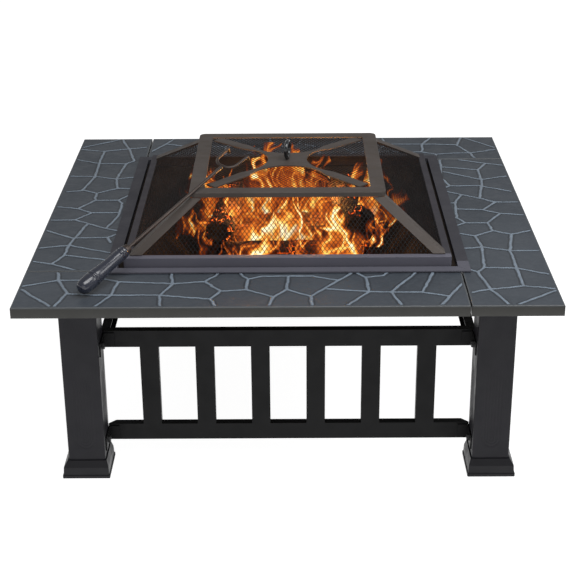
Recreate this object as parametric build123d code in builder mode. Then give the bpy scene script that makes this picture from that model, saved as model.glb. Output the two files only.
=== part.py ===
from build123d import *
import math
import os

os.makedirs("parts", exist_ok=True)

# ----------------------------------------------------------------------------
# Square steel fire pit table with a lift-out bowl, a log grate, a spark-screen
# lid and a log poker. Millimetres, +Z up, front is -Y, origin on the ground
# under the middle of the table.
# ----------------------------------------------------------------------------

# table top: four pressed trays laid as a pinwheel around the bowl opening
TOP_HALF = 406.5          # half of the 813 mm (32 in) square top
TOP_Z = 320.0             # height of the top surface
SKIRT_H = 18.0            # height of the trays' folded skirt
TRAY_T = 1.6              # tray sheet
OPEN_HALF = 270.5         # inner edge of each tray
SEAM_END = 268.5          # right-hand end of each tray, 2 mm short of its neighbour
SEAM_BOLT_Z = 310.0
SEAM_BOLT_AT = (-384.0, -305.0)

# legs and feet
LEG_IN = 290.0            # inner face of a leg
LEG_OUT = 348.0           # outer face of a leg
LEG_C = 0.5 * (LEG_IN + LEG_OUT)
LEG_W = LEG_OUT - LEG_IN
LEG_T = 2.0
LEG_Z0 = 5.0
BRACKET_T = 2.0
LEG_Z1 = TOP_Z - TRAY_T - BRACKET_T
FOOT_W = 75.0
FOOT_H = 28.0

# slatted side panels between the legs
RAIL_OUT = 293.0          # outer face of the rails, measured from the centre
RAIL_D = 14.0             # depth of rails and slats
RAIL_T = 1.6
TOP_RAIL = (199.5, 227.5)
BOT_RAIL = (34.0, 62.0)
SLAT_W = 29.5
SLAT_PITCH = 87.4
BOLT_AT = 316.0           # bolt line on the leg's inner faces


def rails_of(a):
    """Front and back carry a slatted panel; left and right a top rail alone."""
    return (TOP_RAIL, BOT_RAIL) if a % 180 == 0 else (TOP_RAIL,)



# fire bowl
RIM_OUT = 283.0
RIM_Z0, RIM_Z1 = 320.2, 322.4
COLLAR = 267.0
LEDGE_Z = 313.0
BOWL_TOP = 250.0
BOWL_BOTTOM = 150.0
BOWL_BOTTOM_Z = 183.4
BOWL_T = 2.0

# spark-screen lid
BASE_OUT = 256.0
BASE_Z0, BASE_Z1 = 313.2, 335.0
BASE_FLANGE = 12.0
MESH_LOW = 246.0          # half width of the lower mesh surface at BASE_Z1
MESH_HIGH = 154.0         # half width where it runs under the shoulder ring
MESH_HIGH_Z = 398.0
MESH_T = 1.2
RING_OUT = 158.0
RING_IN = 134.0
RING_Z0, RING_Z1 = 399.0, 407.0
HIP_W = 14.0
HIP_T = 1.5
CROWN_Z = 411.0
ARM_W = 20.0
EYE_R, EYE_ROD = 13.3, 3.3
EYE_TURN = 12.0

# poker: it leans from the table top over the lid's front-left corner
POKER_BUTT = Vector(-307.0, -373.0, TOP_Z + 12.8)
POKER_REST = Vector(-149.1, -157.5, TOP_Z + 90.6)
HANDLE_L = 104.0
FERRULE_L = 10.0
FORK_AT = 354.5
FORK_R = 17.0
FORK_L = 27.0
FORK_FLARE = 3.0
FORK_ROLL = -12.0
ROD_R = 2.75
FORK_ROD_R = 2.4


def turn(x, y, angle):
    c, s = math.cos(math.radians(angle)), math.sin(math.radians(angle))
    return (x * c - y * s, x * s + y * c)


def flat(z, angle=0.0):
    """Horizontal plane at height z, turned about the Z axis."""
    ux, uy = turn(1, 0, angle)
    return Plane(origin=(0, 0, z), x_dir=(ux, uy, 0), z_dir=(0, 0, 1))


def side_on(x, y, z, normal, angle=0.0):
    """Vertical plane at a point, its normal given before the turn about Z."""
    px, py = turn(x, y, angle)
    nx, ny = turn(normal[0], normal[1], angle)
    return Plane(origin=(px, py, z), x_dir=(-ny, nx, 0), z_dir=(nx, ny, 0))


SIDES = {"front": 0.0, "right": 90.0, "back": 180.0, "left": 270.0}
CORNERS = {"front_right": 0.0, "back_right": 90.0, "back_left": 180.0, "front_left": 270.0}

# ---------------------------------------------------------------- table top
# Each tray is a thin pressed sheet with a skirt on all four edges, open below.
tray_len = TOP_HALF + SEAM_END
tray_wid = TOP_HALF - OPEN_HALF
tray_cx = 0.5 * (SEAM_END - TOP_HALF)
tray_cy = -0.5 * (TOP_HALF + OPEN_HALF)
for side, a in SIDES.items():
    with BuildPart() as tabletop_panel:
        with BuildSketch(flat(TOP_Z - SKIRT_H, a)):
            with Locations((tray_cx, tray_cy)):
                Rectangle(tray_len, tray_wid)
        extrude(amount=SKIRT_H)
        fillet(tabletop_panel.faces().sort_by(Axis.Z)[-1].edges(), radius=1.4)
        bottom = tabletop_panel.faces().sort_by(Axis.Z)[0]
        offset(amount=-TRAY_T, openings=bottom)
        # holes for the seam bolts: two in the end wall, two in the inner wall
        for b in SEAM_BOLT_AT:
            with BuildSketch(side_on(SEAM_END - 4, b, SEAM_BOLT_Z, (1, 0), a)):
                Circle(2.65)
            extrude(amount=8, mode=Mode.SUBTRACT)
    # the inner wall of the neighbouring tray meets this tray's end wall, so the
    # inner wall carries the same two holes, seen from the tray's own frame
    with BuildPart() as tray:
        add(tabletop_panel.part)
        for b in SEAM_BOLT_AT:
            with BuildSketch(side_on(b, -OPEN_HALF - 4, SEAM_BOLT_Z, (0, 1), a)):
                Circle(2.65)
            extrude(amount=8, mode=Mode.SUBTRACT)
    tray.part.label = "tabletop_panel_" + side
    export_step(tray.part, "parts/tabletop_panel_" + side + ".step")

# Bolts across the seams: head inside the front tray, nut inside the next one.
with BuildPart() as seam_bolts:
    for a in SIDES.values():
        for b in SEAM_BOLT_AT:
            with BuildSketch(side_on(SEAM_END - TRAY_T, b, SEAM_BOLT_Z, (-1, 0), a)):
                RegularPolygon(4.6, 6)
            extrude(amount=3.5)
            with BuildSketch(side_on(SEAM_END - TRAY_T, b, SEAM_BOLT_Z, (1, 0), a)):
                Circle(2.5)
            extrude(amount=11.5)
seam_bolts.part.label = "seam_bolts"
export_step(seam_bolts.part, "parts/seam_bolts.step")

with BuildPart() as seam_nuts:
    for a in SIDES.values():
        for b in SEAM_BOLT_AT:
            with BuildSketch(side_on(OPEN_HALF + TRAY_T, b, SEAM_BOLT_Z, (1, 0), a)):
                RegularPolygon(4.6, 6)
                Circle(2.56, mode=Mode.SUBTRACT)
            extrude(amount=4.0)
seam_nuts.part.label = "seam_nuts"
export_step(seam_nuts.part, "parts/seam_nuts.step")

# ---------------------------------------------------------------- legs
for corner, a in CORNERS.items():
    with BuildPart() as leg:
        with BuildSketch(flat(LEG_Z0, a)):
            with Locations((LEG_C, -LEG_C)):
                RectangleRounded(LEG_W, LEG_W, 2.5)
                RectangleRounded(LEG_W - 2 * LEG_T, LEG_W - 2 * LEG_T, 1.0, mode=Mode.SUBTRACT)
        extrude(amount=LEG_Z1 - LEG_Z0)
        # bolt holes in the two faces that look inward
        for z0, z1 in rails_of(a):
            with BuildSketch(side_on(LEG_IN - 2, -BOLT_AT, 0.5 * (z0 + z1), (1, 0), a)):
                Circle(3.15)
            extrude(amount=6, mode=Mode.SUBTRACT)
        for z0, z1 in rails_of(a + 90):
            with BuildSketch(side_on(BOLT_AT, -LEG_IN + 2, 0.5 * (z0 + z1), (0, -1), a)):
                Circle(3.15)
            extrude(amount=6, mode=Mode.SUBTRACT)
    leg.part.label = "leg_" + corner
    export_step(leg.part, "parts/leg_" + corner + ".step")

    # Flared foot cap: bottom lip, near-vertical band, sloped shoulder and a
    # square socket that holds the leg.
    with BuildPart() as foot:
        with BuildSketch(flat(0, a)):
            with Locations((LEG_C + 1.5, -LEG_C - 1.5)):
                RectangleRounded(FOOT_W, FOOT_W, 1.5)
        extrude(amount=4.5)
        with BuildSketch(flat(4.5, a)):
            with Locations((LEG_C + 1.5, -LEG_C - 1.5)):
                RectangleRounded(FOOT_W - 2.4, FOOT_W - 2.4, 1.5)
        with BuildSketch(flat(18.0, a)):
            with Locations((LEG_C + 1.5, -LEG_C - 1.5)):
                RectangleRounded(FOOT_W - 4.0, FOOT_W - 4.0, 1.5)
        loft()
        with BuildSketch(flat(18.0, a)):
            with Locations((LEG_C + 1.5, -LEG_C - 1.5)):
                RectangleRounded(FOOT_W - 4.0, FOOT_W - 4.0, 1.5)
        with BuildSketch(flat(FOOT_H, a)):
            with Locations((LEG_C, -LEG_C)):
                RectangleRounded(LEG_W + 4.0, LEG_W + 4.0, 1.5)
        loft()
        with BuildSketch(flat(LEG_Z0, a)):
            with Locations((LEG_C, -LEG_C)):
                RectangleRounded(LEG_W + 0.4, LEG_W + 0.4, 2.5)
        extrude(amount=FOOT_H, mode=Mode.SUBTRACT)
    foot.part.label = "foot_" + corner
    export_step(foot.part, "parts/foot_" + corner + ".step")

# Plates on top of the legs, held to studs under the trays by nuts.
STUDS = ((-36, -36), (-36, 36), (36, -36), (36, 36))
with BuildPart() as leg_top_brackets:
    for a in CORNERS.values():
        with BuildSketch(flat(LEG_Z1, a)):
            with Locations((LEG_C, -LEG_C)):
                RectangleRounded(84, 84, 4)
                with Locations(*STUDS):
                    Circle(2.8, mode=Mode.SUBTRACT)
        extrude(amount=BRACKET_T)
leg_top_brackets.part.label = "leg_top_brackets"
export_step(leg_top_brackets.part, "parts/leg_top_brackets.step")

with BuildPart() as leg_studs:
    for a in CORNERS.values():
        with BuildSketch(flat(LEG_Z1 - 7.0, a)):
            with Locations((LEG_C, -LEG_C)):
                with Locations(*STUDS):
                    Circle(2.5)
        extrude(amount=7.0 + BRACKET_T)
leg_studs.part.label = "leg_studs"
export_step(leg_studs.part, "parts/leg_studs.step")

with BuildPart() as leg_stud_nuts:
    for a in CORNERS.values():
        with BuildSketch(flat(LEG_Z1 - 4.0, a)):
            with Locations((LEG_C, -LEG_C)):
                with Locations(*STUDS):
                    RegularPolygon(4.6, 6)
                    Circle(2.56, mode=Mode.SUBTRACT)
        extrude(amount=4.0)
leg_stud_nuts.part.label = "leg_stud_nuts"
export_step(leg_stud_nuts.part, "parts/leg_stud_nuts.step")

# ---------------------------------------------------------------- side panels
# Rails and slats are folded channels whose open side looks inward.
RAIL_IN = RAIL_OUT - RAIL_D
MITRE = 0.4
for side, a in SIDES.items():
    for tag, (z0, z1) in zip(("top", "bottom"), rails_of(a)):
        with BuildPart() as rail:
            with BuildSketch(flat(z0, a)):
                with BuildLine():
                    Polyline(
                        (-LEG_IN + MITRE, -RAIL_OUT), (LEG_IN - MITRE, -RAIL_OUT),
                        (LEG_IN - MITRE, -LEG_IN), (RAIL_IN - MITRE, -RAIL_IN),
                        (-RAIL_IN + MITRE, -RAIL_IN), (-LEG_IN + MITRE, -LEG_IN),
                        close=True)
                make_face()
            extrude(amount=z1 - z0)
            with BuildSketch(flat(z0 + RAIL_T, a)):
                with Locations((0, -RAIL_OUT + RAIL_T + 10)):
                    Rectangle(2 * RAIL_IN - 10, 20)
            extrude(amount=z1 - z0 - 2 * RAIL_T, mode=Mode.SUBTRACT)
        name = "side_panel_" + side + "_" + tag + "_rail"
        rail.part.label = name
        export_step(rail.part, "parts/" + name + ".step")

    if a % 180:
        continue
    with BuildPart() as slats:
        with BuildSketch(flat(BOT_RAIL[1], a)):
            for i in range(6):
                with Locations(((i - 2.5) * SLAT_PITCH, -RAIL_OUT + RAIL_D / 2)):
                    Rectangle(SLAT_W, RAIL_D)
                with Locations(((i - 2.5) * SLAT_PITCH, -RAIL_OUT + RAIL_T + 10)):
                    Rectangle(SLAT_W - 2 * RAIL_T, 20, mode=Mode.SUBTRACT)
        extrude(amount=TOP_RAIL[0] - BOT_RAIL[1])
    name = "side_panel_" + side + "_slats"
    slats.part.label = name
    export_step(slats.part, "parts/" + name + ".step")

# L brackets that carry the rail ends on the legs' inner faces.
with BuildPart() as rail_brackets:
    for a in SIDES.values():
        for z0, z1 in rails_of(a):
            for s in (-1, 1):
                with BuildSketch(flat(z0 + 3, a)):
                    with BuildLine():
                        Polyline(
                            (s * LEG_IN, -RAIL_OUT - 42), (s * (LEG_IN - 2), -RAIL_OUT - 42),
                            (s * (LEG_IN - 2), -RAIL_OUT - 2), (s * (LEG_IN - 18), -RAIL_OUT - 2),
                            (s * (LEG_IN - 18), -RAIL_OUT), (s * LEG_IN, -RAIL_OUT),
                            close=True)
                    make_face()
                extrude(amount=z1 - z0 - 6)
                zc = 0.5 * (z0 + z1)
                with BuildSketch(side_on(s * (LEG_IN + 2), -BOLT_AT, zc, (-s, 0), a)):
                    Circle(3.15)
                extrude(amount=6, mode=Mode.SUBTRACT)
rail_brackets.part.label = "rail_brackets"
export_step(rail_brackets.part, "parts/rail_brackets.step")

with BuildPart() as rail_bolts:
    for a in SIDES.values():
        for z0, z1 in rails_of(a):
            for s in (-1, 1):
                zc = 0.5 * (z0 + z1)
                with BuildSketch(side_on(s * (LEG_IN - 2), -BOLT_AT, zc, (-s, 0), a)):
                    RegularPolygon(5.6, 6)
                extrude(amount=4)
                with BuildSketch(side_on(s * (LEG_IN - 2), -BOLT_AT, zc, (s, 0), a)):
                    Circle(3.0)
                extrude(amount=11)
rail_bolts.part.label = "rail_bolts"
export_step(rail_bolts.part, "parts/rail_bolts.step")

with BuildPart() as rail_nuts:
    for a in SIDES.values():
        for z0, z1 in rails_of(a):
            for s in (-1, 1):
                zc = 0.5 * (z0 + z1)
                with BuildSketch(side_on(s * (LEG_IN + LEG_T), -BOLT_AT, zc, (s, 0), a)):
                    RegularPolygon(5.6, 6)
                    Circle(3.06, mode=Mode.SUBTRACT)
                extrude(amount=5)
rail_nuts.part.label = "rail_nuts"
export_step(rail_nuts.part, "parts/rail_nuts.step")

# ---------------------------------------------------------------- fire bowl
# Square pressed bowl: a ledge for the lid and sloping walls down to a flat
# floor. Its rim is a frame of four mitred angle bars that stands on the ledge
# and lies on the trays.
with BuildPart() as fire_bowl:
    with BuildSketch(flat(BOWL_BOTTOM_Z)):
        RectangleRounded(2 * BOWL_BOTTOM, 2 * BOWL_BOTTOM, 55)
    with BuildSketch(flat(LEDGE_Z)):
        RectangleRounded(2 * BOWL_TOP, 2 * BOWL_TOP, 22)
    loft()
    with BuildSketch(flat(LEDGE_Z - 1.8)):
        RectangleRounded(2 * COLLAR, 2 * COLLAR, 5)
    extrude(amount=1.8)
    with BuildSketch(flat(BOWL_BOTTOM_Z + BOWL_T)):
        RectangleRounded(2 * (BOWL_BOTTOM - 2.4), 2 * (BOWL_BOTTOM - 2.4), 52.6)
    with BuildSketch(flat(LEDGE_Z)):
        RectangleRounded(2 * (BOWL_TOP - 2.4), 2 * (BOWL_TOP - 2.4), 19.6)
    loft(mode=Mode.SUBTRACT)
fire_bowl.part.label = "fire_bowl"
export_step(fire_bowl.part, "parts/fire_bowl.step")

COLLAR_IN = COLLAR - 1.8
with BuildPart() as bowl_rim:
    for a in SIDES.values():
        for out, z0, z1 in ((COLLAR - 0.4, LEDGE_Z, RIM_Z0), (RIM_OUT, RIM_Z0, RIM_Z1)):
            with BuildSketch(flat(z0, a)):
                with BuildLine():
                    Polyline(
                        (-out + 0.2, -out), (out - 0.2, -out),
                        (COLLAR_IN - 0.6, -COLLAR_IN + 0.4), (-COLLAR_IN + 0.6, -COLLAR_IN + 0.4),
                        close=True)
                make_face()
            extrude(amount=z1 - z0)
bowl_rim.part.label = "bowl_rim"
export_step(bowl_rim.part, "parts/bowl_rim.step")

# ---------------------------------------------------------------- log grate
GRATE_Z = BOWL_BOTTOM_Z + BOWL_T
with BuildPart() as grate_legs:
    with BuildSketch(flat(GRATE_Z + 0.2)):
        with GridLocations(190, 190, 2, 2):
            Circle(6)
    extrude(amount=27.8)
grate_legs.part.label = "grate_legs"
export_step(grate_legs.part, "parts/grate_legs.step")

with BuildPart() as grate_side_bars:
    with BuildSketch(flat(GRATE_Z + 28)):
        with GridLocations(190, 0, 2, 1):
            Rectangle(12, 240)
    extrude(amount=12)
grate_side_bars.part.label = "grate_side_bars"
export_step(grate_side_bars.part, "parts/grate_side_bars.step")

with BuildPart() as grate_rungs:
    with BuildSketch(flat(GRATE_Z + 40)):
        with GridLocations(0, 31, 1, 8):
            Rectangle(260, 12)
    extrude(amount=12)
    fillet(grate_rungs.edges().filter_by(Axis.X), radius=2)
grate_rungs.part.label = "grate_rungs"
export_step(grate_rungs.part, "parts/grate_rungs.step")

# Firewood: split logs as plain many-sided prisms.
LOG_Z = GRATE_Z + 52.3


def log_profile(r, seed):
    pts = []
    for i in range(9):
        t = 2 * math.pi * i / 9
        k = 1.0 - 0.13 * abs(math.sin(seed * 1.7 + i * 2.3))
        pts.append((r * k * math.cos(t), r * k * math.sin(t)))
    return pts


with BuildPart() as firewood_lower_logs:
    for i, (yc, r, ln, xc) in enumerate(((-74, 27, 250, -4), (-8, 29, 262, 6), (60, 28, 246, -2))):
        with BuildSketch(Plane(origin=(xc - ln / 2, yc, LOG_Z + r), x_dir=(0, 1, 0), z_dir=(1, 0, 0))):
            with BuildLine():
                Polyline(*log_profile(r, i + 1), close=True)
            make_face()
        extrude(amount=ln)
firewood_lower_logs.part.label = "firewood_lower_logs"
export_step(firewood_lower_logs.part, "parts/firewood_lower_logs.step")

with BuildPart() as firewood_upper_logs:
    for i, (xc, yc, r, ln, ang) in enumerate(((-104, -8, 24, 210, 84), (108, -4, 30, 216, 97))):
        dx, dy = math.cos(math.radians(ang)), math.sin(math.radians(ang))
        with BuildSketch(Plane(origin=(xc - dx * ln / 2, yc - dy * ln / 2, LOG_Z + 58.3 + r),
                               x_dir=(-dy, dx, 0), z_dir=(dx, dy, 0))):
            with BuildLine():
                Polyline(*log_profile(r, i + 5), close=True)
            make_face()
        extrude(amount=ln)
firewood_upper_logs.part.label = "firewood_upper_logs"
export_step(firewood_upper_logs.part, "parts/firewood_upper_logs.step")

# ---------------------------------------------------------------- spark screen
# Base frame: an angle section with its flange turned inward at the top.
with BuildPart() as lid_base_frame:
    with BuildSketch(flat(BASE_Z0)):
        RectangleRounded(2 * BASE_OUT, 2 * BASE_OUT, 4)
        RectangleRounded(2 * BASE_OUT - 4, 2 * BASE_OUT - 4, 2, mode=Mode.SUBTRACT)
    extrude(amount=BASE_Z1 - BASE_Z0)
    with BuildSketch(flat(BASE_Z1 - 2)):
        RectangleRounded(2 * BASE_OUT, 2 * BASE_OUT, 4)
        Rectangle(2 * (BASE_OUT - BASE_FLANGE), 2 * (BASE_OUT - BASE_FLANGE), mode=Mode.SUBTRACT)
    extrude(amount=2)
    fillet(lid_base_frame.faces().sort_by(Axis.Z)[-1].outer_wire().edges(), radius=1.0)
lid_base_frame.part.label = "lid_base_frame"
export_step(lid_base_frame.part, "parts/lid_base_frame.step")

# Shoulder ring: a flat flange with a short lip turned down on its outer edge.
with BuildPart() as lid_shoulder_ring:
    with BuildSketch(flat(RING_Z0)):
        RectangleRounded(2 * RING_OUT, 2 * RING_OUT, 11)
        RectangleRounded(2 * RING_OUT - 4, 2 * RING_OUT - 4, 9, mode=Mode.SUBTRACT)
    extrude(amount=RING_Z1 - RING_Z0)
    with BuildSketch(flat(RING_Z1 - 2)):
        RectangleRounded(2 * RING_OUT, 2 * RING_OUT, 11)
        RectangleRounded(2 * RING_IN, 2 * RING_IN, 5, mode=Mode.SUBTRACT)
    extrude(amount=2)
    fillet(lid_shoulder_ring.faces().sort_by(Axis.Z)[-1].outer_wire().edges(), radius=1.2)
lid_shoulder_ring.part.label = "lid_shoulder_ring"
export_step(lid_shoulder_ring.part, "parts/lid_shoulder_ring.step")

# Crown cross: four arms that flow into a centre plate, dished very slightly
# upward to the middle, between the ring's inner corners.
arm_reach = RING_IN - 3.0
half_arm = ARM_W / math.sqrt(2)
PLATE = 37.0
WEB = 62.0
with BuildPart() as lid_crown_cross:
    with BuildSketch(flat(395)):
        with BuildLine():
            pts = []
            for k in range(4):
                a = 90.0 * k
                # corner end of the arm in the +X +Y quadrant, then the concave
                # flank of the +Y side
                e0 = turn(arm_reach, arm_reach - half_arm, a)
                e1 = turn(arm_reach - half_arm, arm_reach, a)
                f0 = turn(WEB, WEB + half_arm, a)
                m = turn(0, PLATE - 4, a)
                f1 = turn(-WEB, WEB + half_arm, a)
                nxt = turn(-(arm_reach - half_arm), arm_reach, a)
                Line(e0, e1)
                Line(e1, f0)
                ThreePointArc(f0, m, f1)
                Line(f1, nxt)
        make_face()
        Circle(3.4, mode=Mode.SUBTRACT)
    extrude(amount=25)
    with BuildSketch(flat(CROWN_Z - 12)):
        Rectangle(700, 700)
    with BuildSketch(flat(CROWN_Z)):
        Rectangle(40, 40)
    loft(mode=Mode.INTERSECT)
    with BuildSketch(flat(CROWN_Z - 14)):
        Rectangle(700, 700)
    with BuildSketch(flat(CROWN_Z - 2)):
        Rectangle(40, 40)
    loft(mode=Mode.SUBTRACT)
lid_crown_cross.part.label = "lid_crown_cross"
export_step(lid_crown_cross.part, "parts/lid_crown_cross.step")

# Sloping mesh panels: thin plates that stand for expanded metal.
rise = MESH_HIGH_Z - BASE_Z1
run = MESH_LOW - MESH_HIGH
slope_len = math.hypot(rise, run)
ca, sa = run / slope_len, rise / slope_len


def slope_plane(angle, lift=0.0):
    """Plane of the lower mesh on one side: local X along the side, Y uphill."""
    ox, oy = turn(0, -MESH_LOW - lift * sa, angle)
    nx, ny = turn(0, -sa, angle)
    xx, xy = turn(1, 0, angle)
    return Plane(origin=(ox, oy, BASE_Z1 + lift * ca), x_dir=(xx, xy, 0), z_dir=(nx, ny, ca))


for side, a in SIDES.items():
    v0, v1, gap = 2.3, slope_len - 0.5, 1.6
    h0, h1 = MESH_LOW - v0 * ca - gap, MESH_LOW - v1 * ca - gap
    with BuildPart() as lid_mesh:
        with BuildSketch(slope_plane(a)):
            with BuildLine():
                Polyline((-h0, v0), (h0, v0), (h1, v1), (-h1, v1), close=True)
            make_face()
        extrude(amount=-MESH_T)
    lid_mesh.part.label = "lid_mesh_" + side
    export_step(lid_mesh.part, "parts/lid_mesh_" + side + ".step")

# Hip strips: folded angles over the four sloping corners.
hip_width = HIP_W / math.cos(math.atan(ca))
for corner, a in CORNERS.items():
    v0, v1 = 0.4, (MESH_LOW - RING_OUT + 2.4) / ca
    w0, w1 = MESH_LOW - v0 * ca, MESH_LOW - v1 * ca
    cx, cy = turn(1, 1, a)
    with BuildPart() as lid_hip:
        with BuildSketch(slope_plane(a, 0.1)):
            with BuildLine():
                Polyline((w0 + 3, v0), (w1 + 3, v1), (w1 - hip_width, v1), (w0 - hip_width, v0), close=True)
            make_face()
        extrude(amount=HIP_T)
        split(bisect_by=Plane(origin=(0, 0, 0), z_dir=(-cx, -cy, 0)), keep=Keep.TOP)
        mirror(about=Plane(origin=(0, 0, 0), z_dir=(-cx, -cy, 0)))
    lid_hip.part.label = "lid_hip_" + corner
    export_step(lid_hip.part, "parts/lid_hip_" + corner + ".step")

with BuildPart() as lid_mesh_top:
    with BuildSketch(flat(RING_Z1 - 3.4)):
        RectangleRounded(2 * RING_OUT - 6, 2 * RING_OUT - 6, 7)
        Circle(9, mode=Mode.SUBTRACT)
    extrude(amount=MESH_T)
lid_mesh_top.part.label = "lid_mesh_top"
export_step(lid_mesh_top.part, "parts/lid_mesh_top.step")

# Lifting eye with a threaded stem through the crown plate.
et = math.radians(EYE_TURN)
eye_z = CROWN_Z + 0.25 + EYE_R + EYE_ROD
with BuildPart() as lid_eye:
    with BuildSketch(Plane(origin=(EYE_R * math.sin(et), EYE_R * math.cos(et), eye_z),
                           x_dir=(math.sin(et), math.cos(et), 0), z_dir=(0, 0, 1))):
        Circle(EYE_ROD)
    revolve(axis=Axis((0, 0, eye_z), (math.cos(et), -math.sin(et), 0)), revolution_arc=360)
    with BuildSketch(flat(CROWN_Z - 10.0)):
        Circle(3.1)
    extrude(amount=10.0 + 2.5)
lid_eye.part.label = "lid_eye"
export_step(lid_eye.part, "parts/lid_eye.step")

with BuildPart() as lid_eye_washer:
    with BuildSketch(flat(CROWN_Z - 3.7)):
        Circle(8.0)
        Circle(3.3, mode=Mode.SUBTRACT)
    extrude(amount=1.5)
lid_eye_washer.part.label = "lid_eye_washer"
export_step(lid_eye_washer.part, "parts/lid_eye_washer.step")

with BuildPart() as lid_eye_nut:
    with BuildSketch(flat(CROWN_Z - 8.8)):
        RegularPolygon(5.8, 6)
        Circle(3.16, mode=Mode.SUBTRACT)
    extrude(amount=5.0)
lid_eye_nut.part.label = "lid_eye_nut"
export_step(lid_eye_nut.part, "parts/lid_eye_nut.step")

# ---------------------------------------------------------------- poker
pd = (POKER_REST - POKER_BUTT).normalized()
p_side = pd.cross(Vector(0, 0, 1)).normalized()
p_up = p_side.cross(pd).normalized()
poker_axis = Axis(POKER_BUTT, pd)
profile_plane = Plane(origin=POKER_BUTT, x_dir=pd, z_dir=pd.cross(p_up))

with BuildPart() as poker_handle:
    with BuildSketch(profile_plane):
        with BuildLine():
            Polyline((0, 0), (0, 6.0))
            Spline((0, 6.0), (2.0, 8.8), (6, 10.9), (15, 12.3), (26, 12.6))
            Polyline((26, 12.6), (27.2, 11.3), (29, 11.3), (30.2, 12.4))
            Spline((30.2, 12.4), (46, 11.3), (64, 10.0), (78, 9.8), (90, 10.3))
            Polyline((90, 10.3), (91.2, 9.2), (93, 9.2), (94.2, 10.1), (98, 10.0), (99.2, 9.0), (HANDLE_L, 8.8),
                     (HANDLE_L, 0), (0, 0))
        make_face()
    revolve(axis=poker_axis)
    # blind hole for the rod's tang
    with BuildSketch(Plane(origin=POKER_BUTT + pd * HANDLE_L, z_dir=pd)):
        Circle(ROD_R + 0.05)
    extrude(amount=-45, mode=Mode.SUBTRACT)
poker_handle.part.label = "poker_handle"
export_step(poker_handle.part, "parts/poker_handle.step")

with BuildPart() as poker_ferrule:
    with BuildSketch(profile_plane):
        with BuildLine():
            Polyline((HANDLE_L, ROD_R + 0.05), (HANDLE_L, 8.0), (HANDLE_L + 2.5, 8.0), (HANDLE_L + 3.2, 7.0),
                     (HANDLE_L + 5.2, 7.0), (HANDLE_L + 6.0, 7.6), (HANDLE_L + 8.0, 7.2),
                     (HANDLE_L + FERRULE_L, 4.6), (HANDLE_L + FERRULE_L, ROD_R + 0.05), close=True)
        make_face()
    revolve(axis=poker_axis)
poker_ferrule.part.label = "poker_ferrule"
export_step(poker_ferrule.part, "parts/poker_ferrule.step")

with BuildPart() as poker_rod:
    with BuildSketch(Plane(origin=POKER_BUTT + pd * (HANDLE_L - 44), z_dir=pd)):
        Circle(ROD_R)
    extrude(amount=FORK_AT - FORK_ROD_R - 0.05 - (HANDLE_L - 44))
poker_rod.part.label = "poker_rod"
export_step(poker_rod.part, "parts/poker_rod.step")

# Two-pronged fork head, rolled a little so that it lies nearer the screen.
roll = math.radians(FORK_ROLL)
fe2 = p_side * math.cos(roll) + p_up * math.sin(roll)
fe3 = fe2.cross(pd).normalized()
fork_o = POKER_BUTT + pd * FORK_AT


def fork_pt(u, v, w=0.0):
    return fork_o + pd * u + fe2 * v + fe3 * w


with BuildPart() as poker_fork:
    with BuildLine() as fork_path:
        FilletPolyline(
            fork_pt(FORK_R + FORK_L + 2, -FORK_R - FORK_FLARE, -9),
            fork_pt(FORK_R + FORK_L, -FORK_R - FORK_FLARE, 0),
            fork_pt(0, -FORK_R, 0),
            fork_pt(0, FORK_R, 0),
            fork_pt(FORK_R + FORK_L, FORK_R + FORK_FLARE, 0),
            fork_pt(FORK_R + FORK_L + 2, FORK_R + FORK_FLARE, -9),
            radius=(3.2, 15.5, 15.5, 3.2))
    with BuildSketch(Plane(origin=fork_path.line @ 0, z_dir=fork_path.line % 0)):
        Circle(FORK_ROD_R)
    sweep(path=fork_path.line)
poker_fork.part.label = "poker_fork"
export_step(poker_fork.part, "parts/poker_fork.step")
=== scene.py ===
import math
import bpy
import numpy as np
from mathutils import Matrix, Vector


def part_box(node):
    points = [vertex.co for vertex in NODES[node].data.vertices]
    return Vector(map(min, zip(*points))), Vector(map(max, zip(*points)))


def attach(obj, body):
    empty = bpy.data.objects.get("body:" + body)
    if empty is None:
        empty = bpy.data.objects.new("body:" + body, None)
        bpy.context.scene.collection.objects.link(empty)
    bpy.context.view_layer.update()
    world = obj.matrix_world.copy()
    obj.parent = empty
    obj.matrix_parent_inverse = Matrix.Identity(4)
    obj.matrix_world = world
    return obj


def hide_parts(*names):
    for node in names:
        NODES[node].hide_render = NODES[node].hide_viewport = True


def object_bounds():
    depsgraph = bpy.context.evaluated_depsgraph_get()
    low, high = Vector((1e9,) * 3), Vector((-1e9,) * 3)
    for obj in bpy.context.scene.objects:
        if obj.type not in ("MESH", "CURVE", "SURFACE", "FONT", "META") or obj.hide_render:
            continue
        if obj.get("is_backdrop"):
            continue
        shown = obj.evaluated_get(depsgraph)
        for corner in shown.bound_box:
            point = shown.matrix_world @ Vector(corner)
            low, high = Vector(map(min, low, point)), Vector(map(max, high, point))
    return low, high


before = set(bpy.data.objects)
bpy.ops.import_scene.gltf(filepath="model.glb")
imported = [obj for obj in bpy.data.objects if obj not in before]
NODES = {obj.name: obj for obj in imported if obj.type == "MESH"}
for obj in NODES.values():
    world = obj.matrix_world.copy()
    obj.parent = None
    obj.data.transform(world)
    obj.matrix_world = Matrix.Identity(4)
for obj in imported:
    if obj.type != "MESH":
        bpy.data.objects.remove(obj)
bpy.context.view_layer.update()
S = bpy.context.scene
MM = 0.001


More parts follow.
